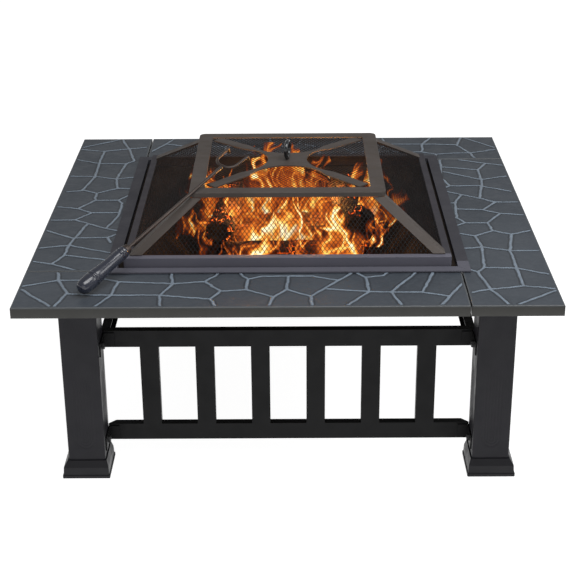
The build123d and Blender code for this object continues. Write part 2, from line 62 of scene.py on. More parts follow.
# ------------------------------------------------------------------ helpers
def make(name, verts, faces, mat, body, replaces=(), smooth=True, attrs=None):
    """A mesh from millimetre vertices, riding on a body."""
    me = bpy.data.meshes.new(name)
    v = np.asarray(verts, dtype=float) * MM
    me.from_pydata(v.tolist(), [], [list(map(int, f)) for f in faces])
    me.validate(clean_customdata=False)
    me.update()
    if attrs:
        for key, values in attrs.items():
            a = me.attributes.new(key, "FLOAT", "POINT")
            a.data.foreach_set("value", np.asarray(values, dtype=np.float32))
    me.polygons.foreach_set("use_smooth", [bool(smooth)] * len(me.polygons))
    me.materials.append(mat)
    ob = bpy.data.objects.new(name, me)
    S.collection.objects.link(ob)
    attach(ob, body)
    if replaces:
        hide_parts(*replaces)
    return ob


def rot(p, a):
    """Turns x, y by a quarter turns' angle in degrees about the middle."""
    c, s = round(math.cos(math.radians(a)), 9), round(math.sin(math.radians(a)), 9)
    q = np.array(p, dtype=float)
    out = q.copy()
    out[:, 0] = c * q[:, 0] - s * q[:, 1]
    out[:, 1] = s * q[:, 0] + c * q[:, 1]
    return out


def smooth01(x, a, b):
    t = np.clip((x - a) / (b - a), 0.0, 1.0)
    return t * t * (3 - 2 * t)


def lattice(seed, n=64):
    return np.random.default_rng(seed).uniform(-1, 1, (n, n))


def noise2(x, y, seed):
    """Smooth value noise, about -1 to 1."""
    g = lattice(seed)
    n = g.shape[0]
    xi, yi = np.floor(x).astype(int), np.floor(y).astype(int)
    fx, fy = x - xi, y - yi
    fx, fy = fx * fx * (3 - 2 * fx), fy * fy * (3 - 2 * fy)
    a, b = g[xi % n, yi % n], g[(xi + 1) % n, yi % n]
    c, d = g[xi % n, (yi + 1) % n], g[(xi + 1) % n, (yi + 1) % n]
    return (a * (1 - fx) + b * fx) * (1 - fy) + (c * (1 - fx) + d * fx) * fy


def seg_dist(x, y, segs):
    best = np.full(x.shape, 1e9)
    for ax, ay, bx, by in segs:
        dx, dy = bx - ax, by - ay
        t = np.clip(((x - ax) * dx + (y - ay) * dy) / (dx * dx + dy * dy), 0, 1)
        best = np.minimum(best, np.hypot(x - ax - t * dx, y - ay - t * dy))
    return best


def polylines(text):
    segs = []
    for line in text.strip().splitlines():
        v = [float(t) for t in line.replace(",", " ").split()]
        pts = list(zip(v[0::2], v[1::2]))
        for p, q in zip(pts, pts[1:]):
            segs.append((p[0], p[1], q[0], q[1]))
    return segs


# ---------------------------------------------------------------- materials
class Nodes:
    """Short names for building a node tree."""

    def __init__(self, name):
        self.mat = bpy.data.materials.new(name)
        self.mat.use_nodes = True
        self.t = self.mat.node_tree
        self.t.nodes.clear()
        self.out = self.t.nodes.new("ShaderNodeOutputMaterial")
        self.b = self.t.nodes.new("ShaderNodeBsdfPrincipled")
        self.t.links.new(self.b.outputs[0], self.out.inputs[0])
        self.tc = self.t.nodes.new("ShaderNodeTexCoord")

    def link(self, a, b):
        self.t.links.new(a, b)

    def set(self, **kw):
        for k, v in kw.items():
            self.b.inputs[k.replace("_", " ")].default_value = v

    def scaled(self, sx, sy, sz, src=None):
        m = self.t.nodes.new("ShaderNodeMapping")
        m.inputs["Scale"].default_value = (sx, sy, sz)
        self.link(src or self.tc.outputs["Object"], m.inputs["Vector"])
        return m.outputs[0]

    def noise(self, scale, detail=3.0, rough=0.55, vec=None, distortion=0.0):
        n = self.t.nodes.new("ShaderNodeTexNoise")
        n.inputs["Scale"].default_value = scale
        n.inputs["Detail"].default_value = detail
        n.inputs["Roughness"].default_value = rough
        n.inputs["Distortion"].default_value = distortion
        self.link(vec or self.tc.outputs["Object"], n.inputs["Vector"])
        return n.outputs[0]

    def voronoi(self, scale, vec=None, feature="F1"):
        n = self.t.nodes.new("ShaderNodeTexVoronoi")
        n.feature = feature
        n.inputs["Scale"].default_value = scale
        self.link(vec or self.tc.outputs["Object"], n.inputs["Vector"])
        return n.outputs["Distance"]

    def ramp(self, fac, *stops, mode="LINEAR"):
        r = self.t.nodes.new("ShaderNodeValToRGB")
        r.color_ramp.interpolation = mode
        e = r.color_ramp.elements
        while len(e) < len(stops):
            e.new(0.5)
        for k, (pos, col) in zip(e, stops):
            k.position = pos
            k.color = (*col, 1.0) if len(col) == 3 else col
        self.link(fac, r.inputs[0])
        return r.outputs[0]

    def math(self, op, a, b=None, c=None, clamp=False):
        m = self.t.nodes.new("ShaderNodeMath")
        m.operation = op
        m.use_clamp = clamp
        for i, v in enumerate((a, b, c)):
            if v is None:
                continue
            if isinstance(v, (int, float)):
                m.inputs[i].default_value = v
            else:
                self.link(v, m.inputs[i])
        return m.outputs[0]

    def span(self, v, a, b, lo=0.0, hi=1.0, smooth=True):
        m = self.t.nodes.new("ShaderNodeMapRange")
        m.interpolation_type = "SMOOTHSTEP" if smooth else "LINEAR"
        m.inputs["From Min"].default_value = a
        m.inputs["From Max"].default_value = b
        m.inputs["To Min"].default_value = lo
        m.inputs["To Max"].default_value = hi
        self.link(v, m.inputs["Value"])
        return m.outputs["Result"]

    def mix(self, fac, a, b, mode="MIX"):
        m = self.t.nodes.new("ShaderNodeMix")
        m.data_type = "RGBA"
        m.blend_type = mode
        for sock, v in ((m.inputs[0], fac), (m.inputs[6], a), (m.inputs[7], b)):
            if isinstance(v, (int, float)):
                sock.default_value = v
            elif isinstance(v, tuple):
                sock.default_value = (*v, 1.0) if len(v) == 3 else v
            else:
                self.link(v, sock)
        return m.outputs[2]

    def attr(self, name):
        a = self.t.nodes.new("ShaderNodeAttribute")
        a.attribute_name = name
        return a.outputs["Fac"]

    def axes(self, src=None):
        s = self.t.nodes.new("ShaderNodeSeparateXYZ")
        self.link(src or self.tc.outputs["Object"], s.inputs[0])
        return s.outputs

    def bump(self, height, strength, distance):
        b = self.t.nodes.new("ShaderNodeBump")
        b.inputs["Strength"].default_value = strength
        b.inputs["Distance"].default_value = distance
        self.link(height, b.inputs["Height"])
        self.link(b.outputs[0], self.b.inputs["Normal"])


def paint(name, base, rough=0.5, spec=0.25, vary=0.12, metallic=0.0, coat=0.0,
          grain=900.0, grain_d=0.00012, dust=None, rough_vary=0.08, coat_rough=0.2, non_front_painted_shade=None):
    """Stoved paint or enamel: fine orange peel, slow changes of tone and gloss, and optional painted light and shade:
    front faces painted lighter, the rest painted darker.
    """
    n = Nodes(name)
    slow = n.noise(9.0, 4.0, 0.6)
    lo = tuple(c * (1 - vary) for c in base)
    hi = tuple(c * (1 + vary) for c in base)
    col = n.ramp(slow, (0.3, lo), (0.7, hi))
    if dust:
        fine = n.noise(70.0, 5.0, 0.65)
        col = n.mix(n.span(fine, 0.52, 0.78, 0.0, 0.5), col, dust)
    # painted light and shade: faces at the front (object y below -243.5 mm) are painted lighter and bluish, all other
    # faces are painted darker toward black
    if non_front_painted_shade:
        front_painted_light = n.span(n.axes()[1], -0.2435, -0.2425, 1.0, 0.0)
        col = n.mix(front_painted_light, n.mix(non_front_painted_shade, col, (0.010, 0.008, 0.007)), n.mix(0.45, col, (0.150, 0.150, 0.185)))
    n.link(col, n.b.inputs["Base Color"])
    n.link(n.span(n.noise(35.0, 3.0), 0.3, 0.7, rough - rough_vary, rough + rough_vary),
           n.b.inputs["Roughness"])
    n.set(Metallic=metallic)
    n.b.inputs["Specular IOR Level"].default_value = spec
    if coat:
        n.b.inputs["Coat Weight"].default_value = coat
        n.b.inputs["Coat Roughness"].default_value = coat_rough
    n.bump(n.noise(grain, 2.0, 0.5), 0.35, grain_d)
    return n.mat


def tabletop_material():
    n = Nodes("slate_enamel")
    slow = n.noise(5.0, 4.0, 0.6)
    field = n.ramp(slow, (0.28, (0.034, 0.042, 0.053)), (0.72, (0.056, 0.066, 0.080)))
    streak = n.noise(1.0, 5.0, 0.65, vec=n.scaled(130.0, 130.0, 40.0), distortion=0.4)
    field = n.mix(n.span(streak, 0.45, 0.75, 0.0, 0.45), field, (0.070, 0.082, 0.098))
    # raised lines painted lighter and bluish: rubbed paint, and in part a painted highlight
    bead = n.attr("bead")
    worn = n.noise(60.0, 4.0, 0.6)
    line = n.mix(n.span(worn, 0.35, 0.65, 0.0, 0.35), (0.190, 0.235, 0.290), (0.095, 0.112, 0.132))
    col = n.mix(n.span(bead, 0.25, 0.85), field, line)
    # painted shade: the grooves beside each raised line are painted near black
    groove = n.attr("groove")
    col = n.mix(n.span(groove, 0.2, 1.0, 0.0, 0.55), col, (0.010, 0.012, 0.015))
    edge = n.attr("edge")
    col = n.mix(n.span(edge, 0.3, 1.0, 0.0, 0.65), col, (0.125, 0.130, 0.132))
    skirt = n.attr("skirt")
    col = n.mix(skirt, col, (0.0145, 0.0142, 0.0115))
    n.link(col, n.b.inputs["Base Color"])
    rough = n.span(n.noise(45.0, 4.0), 0.3, 0.7, 0.34, 0.48)
    rough = n.math("SUBTRACT", rough, n.math("MULTIPLY", bead, 0.14))
    n.link(rough, n.b.inputs["Roughness"])
    n.b.inputs["Specular IOR Level"].default_value = 0.42
    n.set(Metallic=0.0)
    n.bump(n.noise(420.0, 3.0, 0.6), 0.35, 0.00025)
    return n.mat


def mesh_material():
    n = Nodes("screen_steel")
    col = n.ramp(n.noise(30.0, 4.0, 0.6), (0.3, (0.005, 0.005, 0.006)), (0.75, (0.013, 0.013, 0.015)))
    n.link(col, n.b.inputs["Base Color"])
    n.set(Metallic=0.1, Roughness=0.58)
    n.b.inputs["Specular IOR Level"].default_value = 0.16
    return n.mat


def wood_material():
    """Charred split wood: black char blocks, brown bark left, ash, glowing cracks."""
    n = Nodes("charred_wood")
    warp = n.noise(22.0, 3.0, 0.5)
    vec = n.tc.outputs["Object"]
    char = n.ramp(n.noise(60.0, 5.0, 0.65), (0.3, (0.006, 0.005, 0.0045)), (0.75, (0.038, 0.027, 0.020)))
    bark = n.ramp(n.noise(1.0, 5.0, 0.6, vec=n.scaled(40.0, 220.0, 120.0)), (0.35, (0.030, 0.014, 0.007)), (0.75, (0.150, 0.070, 0.032)))
    where = n.span(n.noise(11.0, 3.0, 0.55), 0.44, 0.60)
    col = n.mix(where, char, bark)
    ash = n.span(n.noise(34.0, 5.0, 0.7), 0.60, 0.74, 0.0, 0.7)
    col = n.mix(ash, col, (0.19, 0.175, 0.16))
    crack = n.attr("crack")
    col = n.mix(n.span(crack, 0.15, 0.8), col, (0.003, 0.002, 0.002))
    n.link(col, n.b.inputs["Base Color"])
    n.set(Roughness=0.92)
    n.b.inputs["Specular IOR Level"].default_value = 0.15
    hot = n.math("MULTIPLY", n.span(crack, 0.35, 0.95), n.span(n.noise(17.0, 3.0), 0.46, 0.60))
    glow = n.ramp(hot, (0.0, (0.0, 0.0, 0.0)), (0.4, (0.55, 0.06, 0.004)), (1.0, (1.0, 0.33, 0.05)))
    n.link(glow, n.b.inputs["Emission Color"])
    n.b.inputs["Emission Strength"].default_value = 3.2
    n.bump(n.math("ADD", n.noise(150.0, 5.0, 0.7), n.math("MULTIPLY", warp, 0.5)), 0.6, 0.0012)
    return n.mat


def ember_material():
    n = Nodes("ember_coal")
    cell = n.voronoi(95.0)
    lump = n.noise(60.0, 5.0, 0.65)
    col = n.ramp(lump, (0.3, (0.010, 0.008, 0.007)), (0.7, (0.16, 0.145, 0.13)))
    n.link(col, n.b.inputs["Base Color"])
    n.set(Roughness=0.95)
    n.b.inputs["Specular IOR Level"].default_value = 0.1
    hot = n.math("MULTIPLY", n.span(cell, 0.2, 0.7, 1.0, 0.0), n.span(n.noise(30.0, 4.0), 0.42, 0.60))
    glow = n.ramp(hot, (0.0, (0.01, 0.0, 0.0)), (0.35, (0.75, 0.09, 0.008)), (0.9, (1.0, 0.42, 0.08)))
    n.link(glow, n.b.inputs["Emission Color"])
    n.b.inputs["Emission Strength"].default_value = 4.0
    return n.mat


def flame_material(name, seed, tall=1.0, power=1.45):
    """Licking flame: bright wavy threads round darker red hollows, torn at the tips.
    fx runs along the sheet and fz up it; ft is the height over the local tip height."""
    n = Nodes(name)
    fx, fz, ft, fe = n.attr("fx"), n.attr("fz"), n.attr("ft"), n.attr("fe")
    comb = n.t.nodes.new("ShaderNodeCombineXYZ")
    n.link(fx, comb.inputs[0])
    n.link(fz, comb.inputs[1])
    comb.inputs[2].default_value = seed * 3.7
    low = n.t.nodes.new("ShaderNodeTexNoise")
    low.inputs["Scale"].default_value = 16.0
    low.inputs["Detail"].default_value = 2.0
    n.link(comb.outputs[0], low.inputs["Vector"])
    warp = n.t.nodes.new("ShaderNodeVectorMath")
    warp.operation = "MULTIPLY_ADD"
    n.link(low.outputs["Color"], warp.inputs[0])
    warp.inputs[1].default_value = (0.075, 0.045, 0.0)
    n.link(comb.outputs[0], warp.inputs[2])
    src = warp.outputs[0]
    r1 = n.noise(1.0, 1.0, 0.4, vec=n.scaled(27.0, 9.5 / tall, 1.0, src=src))
    r2 = n.noise(1.0, 1.0, 0.4, vec=n.scaled(46.0, 15.0 / tall, 1.7, src=src))

    def thread(v, width):
        t = n.math("ABSOLUTE", n.math("MULTIPLY", n.math("SUBTRACT", v, 0.5), width))
        return n.math("POWER", n.math("SUBTRACT", 1.0, t, clamp=True), 1.6)

    body = n.span(n.noise(1.0, 2.0, 0.5, vec=n.scaled(15.0, 6.0 / tall, 1.0, src=src)), 0.34, 0.66)
    fine = n.noise(1.0, 3.0, 0.6, vec=n.scaled(110.0, 34.0 / tall, 1.0, src=src))
    heat = n.math("ADD", n.math("MULTIPLY", thread(r1, 17.0), n.math("MULTIPLY_ADD", body, 0.46, 0.30)), n.math("MULTIPLY", body, 0.36))
    heat = n.math("ADD", heat, n.math("MULTIPLY", thread(r2, 16.0), n.math("MULTIPLY_ADD", body, 0.26, 0.14)))
    heat = n.math("ADD", heat, n.math("MULTIPLY", n.math("SUBTRACT", fine, 0.5), 0.42))
    fall = n.span(ft, 0.50, 1.0, 0.0, 0.36, smooth=False)
    heat = n.math("SUBTRACT", heat, fall)
    heat = n.math("SUBTRACT", heat, n.math("MULTIPLY", fe, 0.8), clamp=True)
    glow = n.ramp(
        heat,
        (0.00, (0.05, 0.005, 0.001)),
        (0.15, (0.17, 0.022, 0.004)),
        (0.32, (0.44, 0.085, 0.010)),
        (0.50, (0.82, 0.235, 0.026)),
        (0.68, (1.0, 0.56, 0.11)),
        (0.95, (1.0, 0.90, 0.56)),
    )
    n.link(glow, n.b.inputs["Emission Color"])
    n.b.inputs["Emission Strength"].default_value = power
    n.link(n.span(heat, 0.0, 0.40, 0.0, 0.94), n.b.inputs["Alpha"])
    n.set(Roughness=1.0)
    n.b.inputs["Base Color"].default_value = (0.0, 0.0, 0.0, 1.0)
    n.b.inputs["Specular IOR Level"].default_value = 0.0
    return n.mat


M = {
    "top": tabletop_material(),
    "leg": paint("leg_enamel", (0.0098, 0.0094, 0.0125), 0.46, 0.22, grain=1100.0),
    "foot": paint("foot_enamel", (0.0072, 0.0070, 0.0092), 0.42, 0.26, grain=1100.0),
    "panel": paint("panel_enamel", (0.0050, 0.0050, 0.0054), 0.46, 0.15, grain=1100.0),
    "fastener": paint("black_oxide", (0.055, 0.055, 0.057), 0.38, 0.5, metallic=0.75, grain=1500.0),
    "bowl": paint("bowl_soot", (0.022, 0.016, 0.012), 0.72, 0.14, vary=0.35, dust=(0.050, 0.040, 0.032)),
    # rim: painted light on the front flange, painted shade on the sides and back
    "rim": paint("rim_enamel", (0.042, 0.042, 0.052), 0.50, 0.26, vary=0.15, dust=(0.058, 0.058, 0.068), non_front_painted_shade=0.15),
    "iron": paint("cast_iron", (0.030, 0.025, 0.022), 0.78, 0.2, vary=0.3, grain=500.0, grain_d=0.0006, dust=(0.10, 0.09, 0.08)),
    "lid": paint("lid_enamel", (0.066, 0.055, 0.049), 0.50, 0.22, vary=0.16, dust=(0.085, 0.068, 0.054)),
    # base frame: painted light on the front bar, strong painted shade on the sides and back
    "base": paint("base_enamel", (0.075, 0.073, 0.093), 0.50, 0.22, vary=0.14, dust=(0.098, 0.092, 0.108), non_front_painted_shade=0.62),
    "eye": paint("eye_enamel", (0.010, 0.012, 0.014), 0.16, 0.5, coat=0.6, coat_rough=0.08, rough_vary=0.04),
    "handle": paint("handle_lacquer", (0.016, 0.019, 0.032), 0.26, 0.5, coat=0.5, coat_rough=0.14, rough_vary=0.05, grain=240.0, grain_d=0.0002),
    "steel": paint("poker_steel", (0.060, 0.046, 0.040), 0.36, 0.45, metallic=0.55, vary=0.2),
    "mesh": mesh_material(),
    "wood": wood_material(),
    "ember": ember_material(),
}


# the CAD pieces that keep their own shape get their finish
def finish_for(node):
    if node.startswith("leg_front") or node.startswith("leg_back") or node == "leg_top_brackets":
        return "leg"
    if node.startswith("foot_"):
        return "foot"
    if node.startswith("side_panel") or node == "rail_brackets":
        return "panel"
    if node in ("seam_bolts", "seam_nuts", "leg_studs", "leg_stud_nuts", "rail_bolts", "rail_nuts",
                "lid_eye_nut", "lid_eye_washer"):
        return "fastener"
    if node == "fire_bowl":
        return "bowl"
    if node == "bowl_rim":
        return "rim"
    if node.startswith("grate_"):
        return "iron"
    if node.startswith("firewood"):
        return "wood"
    if node.startswith("lid_mesh"):
        return "mesh"
    if node == "lid_eye":
        return "eye"
    if node == "lid_base_frame":
        return "base"
    if node.startswith("lid_"):
        return "lid"
    if node == "poker_handle":
        return "handle"
    if node.startswith("poker_"):
        return "steel"
    return "top"


for node, ob in NODES.items():
    ob.data.materials.clear()
    ob.data.materials.append(M[finish_for(node)])

# ------------------------------------------------------ stone-pattern top
FRONT = polylines("""
-401 -326.5 -350 -304.5 -322 -305 -284 -298.5 -258.2 -312.4 -237 -313 -173.6 -319.5 -126 -312.7 -120 -301.4 -110 -290 -104 -272
-357 -272 -354.3 -279 -350 -304.5 -330.5 -353.5 -342.5 -403
-401 -339 -349.5 -400.5
-330.5 -355.5 -296 -360.5 -262.3 -361.8 -190.7 -362.8 -114.5 -377.5 -105 -403
-284 -298.5 -280 -272
-258.2 -312.4 -261 -335.5 -262.3 -361.8 -268.5 -373 -283 -403
-179.5 -272 -178.6 -292 -173.6 -319.5 -190.7 -362.8 -186.5 -403
-126 -312.7 -99.8 -349 -114.5 -377.5
-99.8 -349 -62 -343.6 -61 -303.6
-76 -272 -68.6 -292 -61 -303.6 -37 -292.8 38.2 -292.8 76.8 -310.5 56.4 -340 34.8 -369.5 36.6 -403
-62 -343.6 -21 -371.8 -1.2 -344.5 0.8 -304 0.8 -292.8
-1.2 -344.5 34.8 -369.5
-21 -371.8 -27.7 -403
76.8 -310.5 89.3 -296.8 104 -272
60 -343.0 122.3 -352.8 155.2 -355.6 201.8 -356 240.5 -371.8 226.5 -403
122.3 -352.8 120 -299 147.3 -291.8 162 -272
120 -299 108 -284
122.3 -352.8 87 -403
155.2 -355.6 190.5 -294.5 203 -272
155.2 -355.6 167.7 -403
201.8 -356 221 -292.3 226 -272
240.5 -371.8 265.5 -322
""")
RIGHT = polylines("""
278.6 -85 298 -69.5 335.5 -69.5 339.5 -106.6 307 -129.3 312.7 -178.2 306 -262.6 293.4 -279.3 304.8 -346.4 325 -403
272 -89 278.6 -85
339.5 -106.6 368.4 -122.5 404 -105
368.4 -122.5 355.9 -193.4 355.9 -266 355.9 -335
272 -113 307 -129.3
272 -186 278.6 -185 312.7 -178.2 355.9 -193.4 403 -194
306 -262.6 355.9 -266 401 -290
272 -260 293.4 -279.3
272 -359 304.8 -346.4 355.9 -335 402 -345.5
402 -352.5 340 -400.5
288 266 286.6 222.7 279.8 163.6 292.3 116.5 272 98
292.3 116.5 344 117 397 86
286.6 222.7 352.5 204.5 371.8 240.9
288.9 194.3 352.5 150
352.5 204.5 352.5 150 399.5 168.2
352.5 150 349 118 337.7 51
272 92 278.6 88.6 307 70.5 336.6 51 362.7 30.7 402 30.7
307 70.5 291 27.3 290 -2 286.6 -45.5 296.8 -65.5
272 27.3 291 27.3
362.7 30.7 335.5 -7.4 362.7 -25.5 400 -33
290 -2.3 335.5 -7.4
362.7 -25.5 335.5 -69.5
272 -45.5 286.6 -45.5
322 266 326.4 263 371.8 242 401 231.5
""")
LEFT = polylines("""
-341.8 87.3 -340.7 60 -338.4 51 -298.6 50.5 -290.7 61.8 -284 74
-298.6 49.3 -289.5 34.5 -289.5 -29 -304.3 -87.5
-338.4 51 -363.4 9 -400 17.8
-363.4 9 -337.3 -11.5 -292 -12.3
-337.3 -11.5 -361.1 -45.8 -401 -46.1
-361.1 -45.8 -304.3 -87.5 -272 -101
-338.4 -68 -344 -99.5 -349.8 -130 -355 -161.5 -356 -202 -370.2 -239.5
-401 -96 -353 -130
-349.8 -130 -296.4 -128 -288.4 -119 -280 -110
-296.4 -128 -288.4 -149.5
-401 -173.6 -355 -161.5 -272 -200
-356 -203 -294 -222.3 -276 -228
-401 -229 -370.2 -240 -327 -266.4
-401 352.6 -341.8 395 -336 401
-328.5 401 -325 386 -310 341
-401 338.6 -356.6 327 -310 341 -278 350.5
-310 341 -293 266.8 -306.6 251 -315 163.4 -306.6 112.5 -341.8 87.3 -366 103 -395 95.8
-356.6 327 -357.7 253 -306.6 251
-401 276.5 -357.7 253 -355.5 178.5 -369 104.5
-401 180.5 -355.5 178.5 -315 163.4 -290 171.6 -276 176
-306.6 112.5 -272 109
""")
BACK = [(-ax, -ay, -bx, -by) for ax, ay, bx, by in FRONT]


def tray(name, x0, x1, y0, y1, segs, seed, node):
    """One pressed tray: raised mortar lines, dressed stone between, rolled edge, skirt."""
    step = 1.25
    r = 1.4
    nx, ny = int((x1 - x0 - 2 * r) / step) + 1, int((y1 - y0 - 2 * r) / step) + 1
    xs, ys = np.linspace(x0 + r, x1 - r, nx), np.linspace(y0 + r, y1 - r, ny)
    X, Y = np.meshgrid(xs, ys, indexing="ij")
    wx = X + 0.9 * noise2(X / 9, Y / 9, seed)
    wy = Y + 0.9 * noise2(X / 9 + 31, Y / 9, seed + 1)
    d = seg_dist(wx, wy, segs)
    border = np.minimum(np.minimum(X - x0, x1 - X), np.minimum(Y - y0, y1 - Y))
    field = smooth01(border, 3.2, 5.4)
    wide = 2.5 + 0.35 * noise2(X / 14, Y / 14, seed + 2)
    # bead raises the lines and also masks their lighter paint, which is partly a painted highlight
    bead = (1 - smooth01(d, wide * 0.38, wide * 1.25)) * field
    # groove shapes the dip beside each line and also masks the painted shade there
    groove = np.exp(-(((d - 4.1) / 1.5) ** 2)) * field
    stone = 0.16 * noise2(X / 17, Y / 17, seed + 3) + 0.09 * noise2(X / 6, Y / 6, seed + 4) + 0.035 * noise2(X / 2.2, Y / 2.2, seed + 5)
    Z = 319.10 + 0.85 * bead - 0.30 * groove + stone * field * (1 - bead)
    edge = (1 - smooth01(border, 0.9, 2.8))
    verts = [np.stack([X.ravel(), Y.ravel(), Z.ravel()], 1)]
    faces = []
    idx = np.arange(nx * ny).reshape(nx, ny)
    a, b, c, e = idx[:-1, :-1].ravel(), idx[1:, :-1].ravel(), idx[1:, 1:].ravel(), idx[:-1, 1:].ravel()
    faces += np.stack([a, b, c, e], 1).tolist()
    ring = np.concatenate([idx[:, 0], idx[-1, 1:], idx[-2::-1, -1], idx[0, -2:0:-1]])
    bx, by, bz = X.ravel()[ring], Y.ravel()[ring], Z.ravel()[ring]
    attr_bead, attr_groove = [bead.ravel()], [groove.ravel()]
    attr_edge, attr_skirt = [edge.ravel()], [np.zeros(nx * ny)]
    prof = []
    for k in range(1, 5):
        t = math.radians(90 * k / 4)
        prof.append((r - r * math.sin(t), -r * (1 - math.cos(t)), 1.0 if k < 4 else 0.5, 0.0 if k < 3 else 0.6))
    prof += [(0.0, -3.2, 0.0, 1.0), (0.0, -16.8, 0.0, 1.0), (0.3, -17.1, 0.0, 1.0), (1.3, -17.1, 0.0, 1.0), (1.6, -16.8, 0.0, 1.0), (1.6, -1.9, 0.0, 1.0)]
    prev, base = ring, nx * ny
    m = len(ring)
    for off, dz, ed, sk in prof:
        sx, sy = (x1 - x0 - 2 * off) / (x1 - x0 - 2 * r), (y1 - y0 - 2 * off) / (y1 - y0 - 2 * r)
        px = x0 + off + (bx - x0 - r) * sx
        py = y0 + off + (by - y0 - r) * sy
        pz = np.full(m, 319.10 + dz)
        verts.append(np.stack([px, py, pz], 1))
        cur = np.arange(base, base + m)
        nxt, pn = np.roll(cur, -1), np.roll(prev, -1)
        faces += np.stack([prev, cur, nxt, pn], 1).tolist()
        prev, base = cur, base + m
        attr_bead.append(np.zeros(m))
        attr_groove.append(np.zeros(m))
        attr_edge.append(np.full(m, ed))
        attr_skirt.append(np.full(m, sk))
    # underside, one flat n-gon closing the inner edge ring
    inner = prev
    faces.append(inner[::-1].tolist())
    return make(name, np.concatenate(verts), faces, M["top"], "table", (node,),
                attrs={"bead": np.concatenate(attr_bead), "groove": np.concatenate(attr_groove),
                       "edge": np.concatenate(attr_edge), "skirt": np.concatenate(attr_skirt)})


tray("stone_top_front", -406.5, 268.5, -406.5, -270.5, FRONT, 11, "tabletop_panel_front")
tray("stone_top_right", 270.5, 406.5, -406.5, 268.5, RIGHT, 21, "tabletop_panel_right")
tray("stone_top_back", -268.5, 406.5, 270.5, 406.5, BACK, 31, "tabletop_panel_back")
tray("stone_top_left", -406.5, -270.5, -268.5, 406.5, LEFT, 41, "tabletop_panel_left")


# ------------------------------------------------------------------ legs
def fluted_leg(name, cx, cy, node):
    """Square tube with four pressed flutes on each face that end in nested rounds."""
    half, r, wall = 29.0, 2.5, 2.0
    z0, z1 = 5.0, 316.4
    per_face, per_corner = 44, 5
    us, kinds = [], []
    pts, nrm, uu = [], [], []
    for k in range(4):
        a = math.radians(90 * k)
        ca, sa = math.cos(a), math.sin(a)
        for i in range(per_face):
            u = -(half - r) + 2 * (half - r) * i / (per_face - 1)
            x, y = u, -half
            pts.append((ca * x - sa * y, sa * x + ca * y))
            nrm.append((ca * 0 - sa * -1, sa * 0 + ca * -1))
            uu.append(u)
        for i in range(1, per_corner):
            t = math.radians(-90 + 90 * i / per_corner)
            x, y = (half - r) + r * math.cos(t), -(half - r) + r * math.sin(t)
            pts.append((ca * x - sa * y, sa * x + ca * y))
            nx, ny = math.cos(t), math.sin(t)
            nrm.append((ca * nx - sa * ny, sa * nx + ca * ny))
            uu.append(99.0)
    pts, nrm, uu = np.array(pts), np.array(nrm), np.array(uu)
    m = len(pts)
    zs = np.concatenate([np.arange(z0, 40, 6.0), np.arange(40, 225, 1.6), np.arange(225, z1, 9.0), [z1]])
    verts, faces = [], []
    zc, rr = 62.0, 14.6
    for z in zs:
        rad = np.where(z > zc, np.abs(uu), np.hypot(uu, z - zc))
        inside = 1 - smooth01(rad, rr - 0.6, rr + 0.4)
        wave = 0.5 - 0.5 * np.cos(2 * np.pi * (rr - rad) / 4.87)
        fade = 1 - smooth01(np.full(m, z), 138.0, 206.0)
        depth = 0.85 * wave * inside * fade
        verts.append(np.column_stack([pts - nrm * depth[:, None], np.full(m, z)]))
    n = len(zs)
    for z in (z1, z0):
        q = pts - nrm * wall
        verts.append(np.column_stack([q, np.full(m, z)]))
    V = np.concatenate(verts)
    V[:, 0] += cx
    V[:, 1] += cy
    idx = np.arange((n + 2) * m).reshape(n + 2, m)
    order = list(range(n + 2)) + [0]
    for i, j in zip(order, order[1:]):
        a, b = idx[i], idx[j]
        faces += np.stack([a, np.roll(a, -1), np.roll(b, -1), b], 1).tolist()
    return make(name, V, faces, M["leg"], "table", (node,))


for fx_, fy_, tag in ((1, -1, "front_right"), (1, 1, "back_right"), (-1, 1, "back_left"), (-1, -1, "front_left")):
    leg = fluted_leg("fluted_leg_" + tag, 319.0 * fx_, 319.0 * fy_, "leg_" + tag)


# ------------------------------------------------------- expanded metal mesh
def strands(to_world, inside, u_half, v_lo, v_hi, pitch_u=7.0, pitch_v=5.6, wide=0.85, thick=0.45, phase=0.0):
    """Zigzag strands that meet at the knuckles. inside(u, v) is the clear outline."""
    verts, faces = [], []
    rows = int((v_hi - v_lo) / pitch_v) + 2
    half = pitch_u / 2
    slope = math.atan2(pitch_v - wide * 0.4, half)
    hv = wide / (2 * math.cos(slope))
    for k in range(rows):
        vc = v_lo + k * pitch_v
        n = int(2 * u_half / half) + 3
        us = -u_half + half * np.arange(n) + phase
        amp = pitch_v / 2 - 0.2
        vs = vc + np.where((np.arange(n) + k) % 2 == 0, amp, -amp)
        # sample each leg of the zigzag so that it can stop at the outline
        run = []
        for i in range(n - 1):
            A, B = (us[i], vs[i]), (us[i + 1], vs[i + 1])
            ia, ib = inside(*A), inside(*B)
            if ia and ib:
                if not run:
                    run = [A]
                run.append(B)
                continue
            if ia != ib:
                lo_t, hi_t = 0.0, 1.0
                for _ in range(12):
                    mid = 0.5 * (lo_t + hi_t)
                    p = (A[0] + (B[0] - A[0]) * mid, A[1] + (B[1] - A[1]) * mid)
                    if inside(*p) == ia:
                        lo_t = mid
                    else:
                        hi_t = mid
                p = (A[0] + (B[0] - A[0]) * lo_t, A[1] + (B[1] - A[1]) * lo_t)
                if ia:
                    if not run:
                        run = [A]
                    run.append(p)
                    emit(run, hv, thick, to_world, verts, faces)
                    run = []
                else:
                    run = [p, B]
            elif run:
                emit(run, hv, thick, to_world, verts, faces)
                run = []
        if len(run) > 1:
            emit(run, hv, thick, to_world, verts, faces)
    return verts, faces


